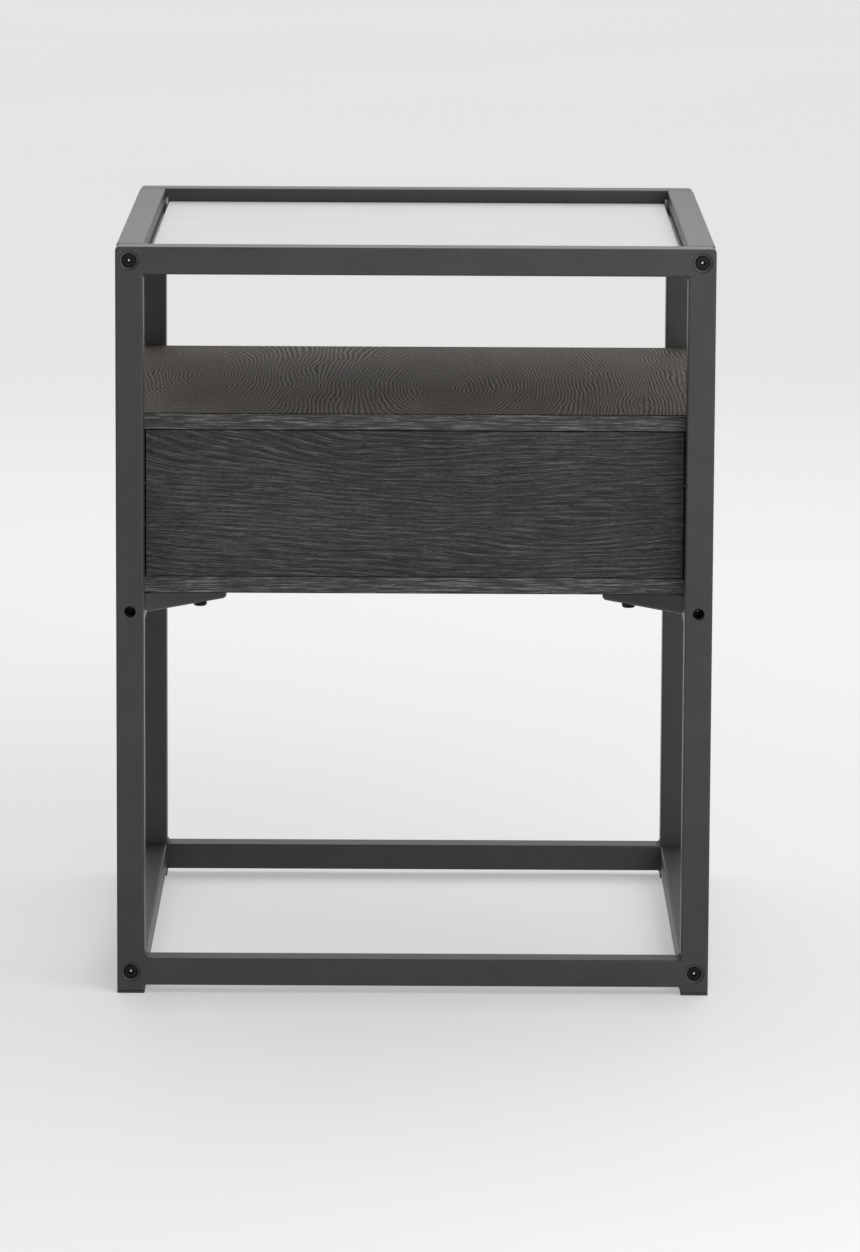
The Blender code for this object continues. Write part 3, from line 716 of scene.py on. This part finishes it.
def add_tab(rail, side, end):
    """A rounded tab that carries a corner of the glass."""
    foot_low, foot_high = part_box(f"glass_bumper_{end_name(end)}_{side_name(side)}")
    high = foot_low.z - GAP
    inner = side * INNER_X
    tip = inner - side * TAB_REACH
    left, right = sorted((inner + side * TAB_ROOT, tip))
    middle = (foot_low.y + foot_high.y) / 2
    near = TAB_SHEET / 2

    def tip_edge(edge):
        a, b = (vert.co for vert in edge.verts)
        return abs(a.x - tip) < near and abs(b.x - tip) < near and abs(a.z - b.z) > near

    tab = shape("tab", block, (left, middle - TAB_HALF, high - TAB_SHEET),
                (right, middle + TAB_HALF, high), TAB_CORNER, 6, tip_edge)
    combine(rail, tab, "UNION")


def make_foot(end, side):
    """A plastic plug: rounded flange, stem and a slightly hollow sole."""
    node = f"foot_{end_name(end)}_{side_name(side)}"
    low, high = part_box(node)
    foot = shape(f"{node}_plug", block, low, (high.x, high.y, low.z + FOOT_FLANGE), FOOT_EDGE, 4)
    stem_low = (low.x + STEM_INSET, low.y + STEM_INSET, low.z + FOOT_FLANGE / 2)
    stem_high = (high.x - STEM_INSET, high.y - STEM_INSET, high.z)
    combine(foot, shape("stem", block, stem_low, stem_high, STEM_EDGE, 2), "UNION")
    middle = (low + high) / 2
    hollow = [(0.0, SOLE_HOLLOW), (SOLE_INNER, SOLE_HOLLOW), (SOLE_OUTER, -TOOL_OUT / 2),
              (0.0, -TOOL_OUT / 2)]
    combine(foot, shape("sole", turn, hollow, (middle.x, middle.y, low.z), (0.0, 0.0, 1.0), 32))
    dress(foot, "frame", [node], "black_plastic", PLASTIC)


# Screws


def head_profile(radius, height, length, shank, soften):
    """Profile of a screw from its tip to the top of its head. Rings stand in for its thread."""
    rings = int((length - 2 * shank) / RING_PITCH)
    profile = [(0.0, -height - length), (shank - RING_HEIGHT * 2, -height - length)]
    for step in range(rings):
        base = -height - length + shank * 0.4 + step * RING_PITCH
        profile += [(shank - RING_HEIGHT, base), (shank, base + RING_PITCH * 0.5)]
    profile += [(shank, -height), (radius, -height)]
    profile += arc((radius - soften, -soften), soften, 0.0, math.pi / 2, 5)
    return profile + [(0.0, 0.0)]


def hex_socket(screw, place, axis, radius, depth):
    """Cut a hexagonal socket with a drill point in its bottom."""
    profile = [(0.0, -depth), (radius, -depth), (radius, 0.001), (0.0, 0.001)]
    combine(screw, shape("socket", turn, profile, place, axis, 6))
    drill = radius * DRILL_SHARE
    point = [(0.0, -depth - drill * 0.6), (drill, -depth + drill * 0.2), (drill, -depth * 0.5),
             (0.0, -depth * 0.5)]
    combine(screw, shape("drill_point", turn, point, place, axis, 24))


def socket_bottom(place, axis, radius, depth):
    """Picks the second material for the drill point in a socket."""
    place, axis = Vector(place), Vector(axis)

    def pick(face):
        offset = face.center - place
        along = offset.dot(axis)
        from_axis = (offset - axis * along).length
        return 1 if from_axis < radius and -2.0 * depth < along < -depth * 1.02 else 0

    return pick


def make_socket_screw(node, end, head_height, shank, socket_radius, soften):
    """A hex-socket screw that points along Y, its head outwards."""
    low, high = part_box(node)
    middle = (low + high) / 2
    outside = low.y if end < 0 else high.y
    place = (middle.x, outside, middle.z)
    axis = (0.0, end, 0.0)
    radius = (high.x - low.x) / 2
    length = high.y - low.y - head_height
    screw = shape(f"{node}_fine", turn, head_profile(radius, head_height, length, shank, soften),
                  place, axis)
    hex_socket(screw, place, axis, socket_radius, SOCKET_DEPTH)
    dress(screw, "frame", [node], "black_steel", OXIDE, BARE,
          pick=socket_bottom(place, axis, socket_radius, SOCKET_DEPTH))


def make_gusset_screw(node):
    """A pan-head screw that points up, with a cross recess."""
    low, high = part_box(node)
    middle = (low + high) / 2
    place = Vector((middle.x, middle.y, low.z))
    radius = (high.x - low.x) / 2
    profile = head_profile(radius, PAN_HEAD, high.z - low.z - PAN_HEAD, PAN_SHANK, PAN_EDGE)
    screw = shape(f"{node}_fine", turn, profile, place, (0.0, 0.0, -1.0))
    for x, y in ((RECESS_ARM, RECESS_HALF), (RECESS_HALF, RECESS_ARM)):
        recess = shape("recess", block, place - Vector((x, y, TOOL_OUT / 2)),
                       place + Vector((x, y, RECESS_DEPTH)))
        combine(screw, recess)
    dress(screw, "frame", [node], "black_steel", OXIDE)


# Gussets


def make_gusset(end, side):
    """A pressed tray with a bend radius round its floor, welded to a middle rail."""
    node = f"gusset_{end_name(end)}_{side_name(side)}"
    low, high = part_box(node)
    half_base = (high.y - low.y) / 2
    reach = high.x - low.x
    root = high.x if side > 0 else low.x
    middle = (low.y + high.y) / 2

    def outline(inset):
        centre = reach - GUSSET_TIP
        slope = math.atan2(half_base, centre) - math.asin(GUSSET_TIP / math.hypot(centre, half_base))
        along = (inset + inset * math.sin(slope)) / math.cos(slope)
        base = half_base - inset * math.cos(slope) - along * math.sin(slope)
        sweep = math.pi / 2 - slope
        curve = arc((centre, 0.0), GUSSET_TIP - inset, -sweep, sweep, 14)
        points = [(inset, -base)] + curve + [(inset, base)]
        return [(root - side * x, middle + y) for x, y in points]

    def section(inset, height):
        return [(x, y, low.z + height) for x, y in outline(inset)]

    top = high.z - low.z
    angles = [math.pi / 2 * step / GUSSET_STEPS for step in range(GUSSET_STEPS + 1)]
    outer = [section(GUSSET_BEND * (1 - math.sin(a)), GUSSET_BEND * (1 - math.cos(a))) for a in angles]
    inner_bend = GUSSET_BEND - GUSSET_SHEET
    inner = [section(GUSSET_SHEET + inner_bend * (1 - math.sin(a)),
                     GUSSET_SHEET + inner_bend * (1 - math.cos(a))) for a in angles]
    rim = [section(0.0, top - GAP), section(GAP, top),
           section(GUSSET_SHEET - GAP, top), section(GUSSET_SHEET, top - GAP)]
    edit = bmesh.new()
    loft(edit, outer + rim + inner[::-1])
    tray = to_object(f"{node}_tray", edit)
    screw = centre_of(f"gusset_screw_{end_name(end)}_{side_name(side)}")
    deep = 2 * GUSSET_SHEET
    hole = [(0.0, -deep), (GUSSET_HOLE, -deep), (GUSSET_HOLE, deep), (0.0, deep)]
    combine(tray, shape("hole", turn, hole, (screw.x, screw.y, low.z), (0.0, 0.0, 1.0), 32))
    dress(tray, "frame", [node], "powder_coat", PAINT)


# Boards


def make_board(node, body, faces, upper=SHADED_ARRIS, lower=SHADED_ARRIS):
    """A banded board. faces gives the material of the sides that look along X, Y and Z.

    upper is the material of the arrises round the top, and lower of those round the bottom.
    """
    low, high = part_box(node)
    board = shape(f"{node}_board", block, low, high, BOARD_ARRIS, 3)
    flat = 0.999

    def pick(face):
        if max(abs(value) for value in face.normal) > flat:
            return main_axis(face)
        # Down-facing arrises take lower; where that is the dark arris, it paints shade under the board.
        return 4 if face.normal.z < -0.1 else 3

    dress(board, body, [node], "dark_oak", *faces, upper, lower, pick=pick)


def make_boards():
    """The box round the drawer, and the drawer's front."""
    # Flat tops and undersides take the lighter shelf foil, which paints light on them.
    flat = (BAND_Y, BAND_X, SHELF_OAK_PAINTED_LIGHT)
    make_board("shelf_panel", "frame", flat, lower=BAND_X)
    # The box bottom keeps dark lower arrises: painted shade under the box.
    make_board("box_bottom", "frame", flat, upper=BAND_X)
    for side in (-1, 1):
        make_board(f"box_side_{side_name(side)}", "frame", (SIDE_OAK, BAND_Z, BAND_Y))
    make_board("box_back", "frame", (BAND_Z, FRONT_OAK, BAND_X))
    make_board("drawer_front", "drawer", (BAND_Z, FRONT_OAK, BAND_X), FRONT_OAK, FRONT_OAK)


# Runners


def sheet_channel(edit, web, lip, half_height, thickness, y_low, y_high, middle):
    """A bent sheet channel along Y: an upright web and two lips that point to the lip's side."""
    inwards = 1.0 if lip > web else -1.0
    bend = CHANNEL_BEND + thickness

    def side_line(inset):
        radius = bend - inset
        corner_x = web + inwards * bend
        corner_z = half_height - bend
        sign = -1.0 if inwards > 0 else 1.0
        upper = arc((corner_x, corner_z), radius, math.pi / 2, math.pi / 2 - sign * math.pi / 2, 6)
        lower = [(x, -z) for x, z in upper[::-1]]
        tip = half_height - inset
        return [(lip, tip)] + upper + lower + [(lip, -tip)]

    outline = side_line(0.0) + side_line(thickness)[::-1]
    loft(edit, [[(x, y, middle + z) for x, z in outline] for y in (y_low, y_high)])


def make_runner(node, body, screws):
    """A runner member with its fixing screws."""
    low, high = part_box(node)
    web, lip = (high.x, low.x) if abs(high.x) > abs(low.x) else (low.x, high.x)
    if "drawer" in node:
        web, lip = lip, web
    middle = (low.z + high.z) / 2
    half = (high.z - low.z) / 2
    edit = bmesh.new()
    sheet_channel(edit, web, lip, half, RUNNER_SHEET, low.y, high.y, middle)
    inwards = math.copysign(1.0, lip - web)
    for share in screws:
        place = (web + inwards * RUNNER_SHEET * 0.9, low.y + share * (high.y - low.y), middle)
        dome = [(0.0, 0.0), (RUNNER_SCREW_RADIUS, 0.0)]
        dome += arc((0.0, -0.0042), 0.00525, math.radians(53.0), math.radians(85.0), 5)
        dome += [(0.0, RUNNER_SCREW_HEIGHT)]
        turn(edit, dome, place, (inwards, 0.0, 0.0), 24)
    runner = to_object(f"{node}_channel", edit)
    dress(runner, body, [node], "zinc", ZINC)


def make_cage(side):
    """A ball cage: a thin channel with a row of balls along each edge."""
    node = f"ball_cage_{side_name(side)}"
    low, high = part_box(node)
    web, lip = (high.x, low.x) if side > 0 else (low.x, high.x)
    middle = (low.z + high.z) / 2
    half = (high.z - low.z) / 2 - (BALL_RADIUS - BALL_SINK)
    edit = bmesh.new()
    sheet_channel(edit, web, lip, half, CAGE_SHEET, low.y, high.y, middle)
    line_x = web - side * BALL_INSET
    for level in (-1, 1):
        for step in (-1, 0, 1):
            place = (line_x, (low.y + high.y) / 2 + step * BALL_SPACING,
                     middle + level * (half - BALL_SINK))
            bmesh.ops.create_uvsphere(edit, u_segments=20, v_segments=12, radius=BALL_RADIUS,
                                      matrix=Matrix.Translation(place))
    cage = to_object(f"{node}_fine", edit)
    dress(cage, f"cage_{side_name(side)}", [node], "zinc", ZINC)


# Top plate


def make_glass():
    """The satin plate, with rounded corners and a softened arris."""
    low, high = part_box("glass_top")

    def upright(edge):
        a, b = (vert.co for vert in edge.verts)
        return abs(a.z - b.z) > 0.001

    plate = shape("glass_top_plate", block, low, high, PLATE_CORNER, 8, upright)
    arris = plate.modifiers.new("arris", "BEVEL")
    arris.width = PLATE_ARRIS
    arris.segments = 3
    arris.limit_method = "ANGLE"
    arris.angle_limit = math.radians(60.0)
    bake(plate)
    dress(plate, "frame", ["glass_top"], "glass", GLASS)


def make_bumper(end, side):
    """A soft bumper: a foot under the plate and a leg in the gap beside it."""
    node = f"glass_bumper_{end_name(end)}_{side_name(side)}"
    low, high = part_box(node)
    wall = high.x if side > 0 else low.x
    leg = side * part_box("glass_top")[1].x + side * GAP
    foot = shape(f"{node}_fine", block, low, (high.x, high.y, low.z + BUMPER_FOOT),
                 BUMPER_FOOT_EDGE, 2)
    left, right = sorted((wall, leg))
    combine(foot, shape("leg", block, (left, low.y, low.z + BUMPER_OVERLAP),
                        (right, high.y, high.z), BUMPER_LEG_EDGE, 4), "UNION")
    dress(foot, "frame", [node], "clear_silicone", SILICONE)


def make_pieces():
    """Every fine piece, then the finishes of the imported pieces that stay."""
    for end in (-1, 1):
        make_frame(end)
        make_welds(end)
    for side in (-1, 1):
        for level in ("top", "mid", "bottom"):
            make_rail(level, side)
        make_runner(f"cabinet_runner_{side_name(side)}", "frame", (0.12, 0.5, 0.88))
        make_runner(f"drawer_runner_{side_name(side)}", "drawer", (0.16, 0.5, 0.84))
        make_cage(side)
    for end, side in CORNERS:
        make_foot(end, side)
        for level in ("top", "bottom"):
            make_socket_screw(f"corner_screw_{end_name(end)}_{level}_{side_name(side)}", end,
                              CORNER_HEAD, CORNER_SHANK, CORNER_SOCKET, CORNER_EDGE)
        make_socket_screw(f"mid_screw_{end_name(end)}_{side_name(side)}", end,
                          MID_HEAD, MID_SHANK, MID_SOCKET, MID_EDGE)
        make_gusset(end, side)
        make_gusset_screw(f"gusset_screw_{end_name(end)}_{side_name(side)}")
        make_bumper(end, side)
    make_boards()
    make_glass()
    finishes = {"drawer_side_left": FOIL, "drawer_side_right": FOIL, "drawer_back": FOIL,
                "drawer_bottom": FOIL, "latch_body": PALE, "latch_plunger": PLASTIC}
    for node, material in finishes.items():
        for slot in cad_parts[node].material_slots:
            slot.material = material


# Studio

WORLD_FRONT = 0.12
WORLD_BACK = 0.62
WORLD_TURN = 0.6
WORLD_HORIZON = 0.78
HORIZON_FULL = 0.05
HORIZON_END = 0.12
FLOOR_GLOW_NEAR = 0.33
FLOOR_GLOW_FAR = 0.54
GLOW_START = 0.4
GLOW_END = 2.6
FLOOR_TONE = 0.55
FLOOR_RADIUS = 40.0
KEY_PLACE = (1.0, -1.6, 1.35)
KEY_SIZE = 2.4
KEY_POWER = 36.0
SKY_PLACE = (0.1, 1.0, 1.7)
SKY_SIZE = 2.2
SKY_POWER = 17.0
CAMERA_LENS = 170.4
CAMERA_SHIFT = -0.15
CAMERA_SIDEWAYS = 0.004
CAMERA_DISTANCE = 4.2028
CAMERA_HEIGHT = 1.0548


def make_floor():
    """A wide pale floor with a faint unevenness. It glows, less near the table: the glow is painted
    light, and its dip near the table paints shade round the table.
    """
    surface = Surface("studio_floor", roughness=0.8, Emission_Color=(1.0, 1.0, 0.99, 1.0))
    away = surface.add("ShaderNodeVectorMath", surface.place, operation="LENGTH").outputs["Value"]
    # Weaker glow within a few metres of the table: painted shade on the floor round it.
    glow = surface.add("ShaderNodeMapRange", away, GLOW_START, GLOW_END,
                       FLOOR_GLOW_NEAR, FLOOR_GLOW_FAR, interpolation_type="SMOOTHSTEP").outputs[0]
    surface.feed(surface.shader.inputs["Emission Strength"], glow)
    clouds = surface.noise((0.9, 0.9, 0.9), 3.0)
    surface.colour(clouds, [(0.3, grey(FLOOR_TONE)), (0.7, grey(FLOOR_TONE * 1.05))])
    edit = bmesh.new()
    bmesh.ops.create_circle(edit, cap_ends=True, segments=96, radius=FLOOR_RADIUS)
    floor = to_object("studio_floor", edit)
    floor.data.materials.append(surface.material)


def make_light(name, place, target, size, power, colour):
    """A square soft light that faces a point."""
    light = bpy.data.lights.new(name, "AREA")
    light.shape = "SQUARE"
    light.size = size
    light.energy = power
    light.color = colour
    lamp = bpy.data.objects.new(name, light)
    lamp.location = place
    lamp.visible_camera = False
    lamp.rotation_euler = (Vector(target) - Vector(place)).to_track_quat("-Z", "Y").to_euler()
    bpy.context.scene.collection.objects.link(lamp)


def make_world():
    """Pale surroundings: bright along the horizon, and brighter behind the table than in front."""
    world = bpy.data.worlds.new("studio")
    world.use_nodes = True
    nodes, links = world.node_tree.nodes, world.node_tree.links
    direction = nodes.new("ShaderNodeTexCoord")
    parts = nodes.new("ShaderNodeSeparateXYZ")
    ramp = nodes.new("ShaderNodeMapRange")
    ramp.inputs["From Min"].default_value = -WORLD_TURN
    ramp.inputs["From Max"].default_value = WORLD_TURN
    ramp.inputs["To Min"].default_value = WORLD_FRONT
    ramp.inputs["To Max"].default_value = WORLD_BACK
    horizon = nodes.new("ShaderNodeMapRange")
    horizon.inputs["From Min"].default_value = HORIZON_FULL
    horizon.inputs["From Max"].default_value = HORIZON_END
    horizon.inputs["To Min"].default_value = WORLD_HORIZON
    horizon.inputs["To Max"].default_value = 0.0
    brighter = nodes.new("ShaderNodeMath")
    brighter.operation = "MAXIMUM"
    links.new(direction.outputs["Generated"], parts.inputs[0])
    links.new(parts.outputs["Y"], ramp.inputs["Value"])
    links.new(parts.outputs["Z"], horizon.inputs["Value"])
    links.new(ramp.outputs[0], brighter.inputs[0])
    links.new(horizon.outputs[0], brighter.inputs[1])
    background = nodes["Background"]
    background.inputs["Color"].default_value = (1.0, 1.0, 0.995, 1.0)
    links.new(brighter.outputs[0], background.inputs["Strength"])
    bpy.context.scene.world = world


def make_camera():
    """The viewpoint: 4.2 m in front of the table, a metre up, looking slightly down."""
    pitch, yaw, roll = 0.1523, 0.0016, 0.0050
    ahead = Vector((math.sin(yaw) * math.cos(pitch), math.cos(yaw) * math.cos(pitch), -math.sin(pitch)))
    right = Vector((math.cos(yaw), -math.sin(yaw), 0.0))
    up = right.cross(ahead)
    level = right * math.cos(roll) + up * math.sin(roll)
    upright = up * math.cos(roll) - right * math.sin(roll)
    data = bpy.data.cameras.new("camera")
    data.lens = CAMERA_LENS
    data.sensor_width = 36.0
    data.shift_y = CAMERA_SHIFT
    data.clip_end = 200.0
    camera = bpy.data.objects.new("camera", data)
    place = Matrix((level, upright, -ahead)).transposed().to_4x4()
    place.translation = (CAMERA_SIDEWAYS, FRONT_LOW.y - CAMERA_DISTANCE, CAMERA_HEIGHT)
    camera.matrix_world = place
    bpy.context.scene.collection.objects.link(camera)
    bpy.context.scene.camera = camera


make_pieces()
make_floor()
make_world()
make_light("key", KEY_PLACE, (0.0, 0.0, 0.35), KEY_SIZE, KEY_POWER, (1.0, 0.99, 0.98))
make_light("overhead", SKY_PLACE, (0.0, 0.0, 0.4), SKY_SIZE, SKY_POWER, (1.0, 0.995, 0.985))
make_camera()
bpy.context.scene.view_settings.view_transform = "Standard"
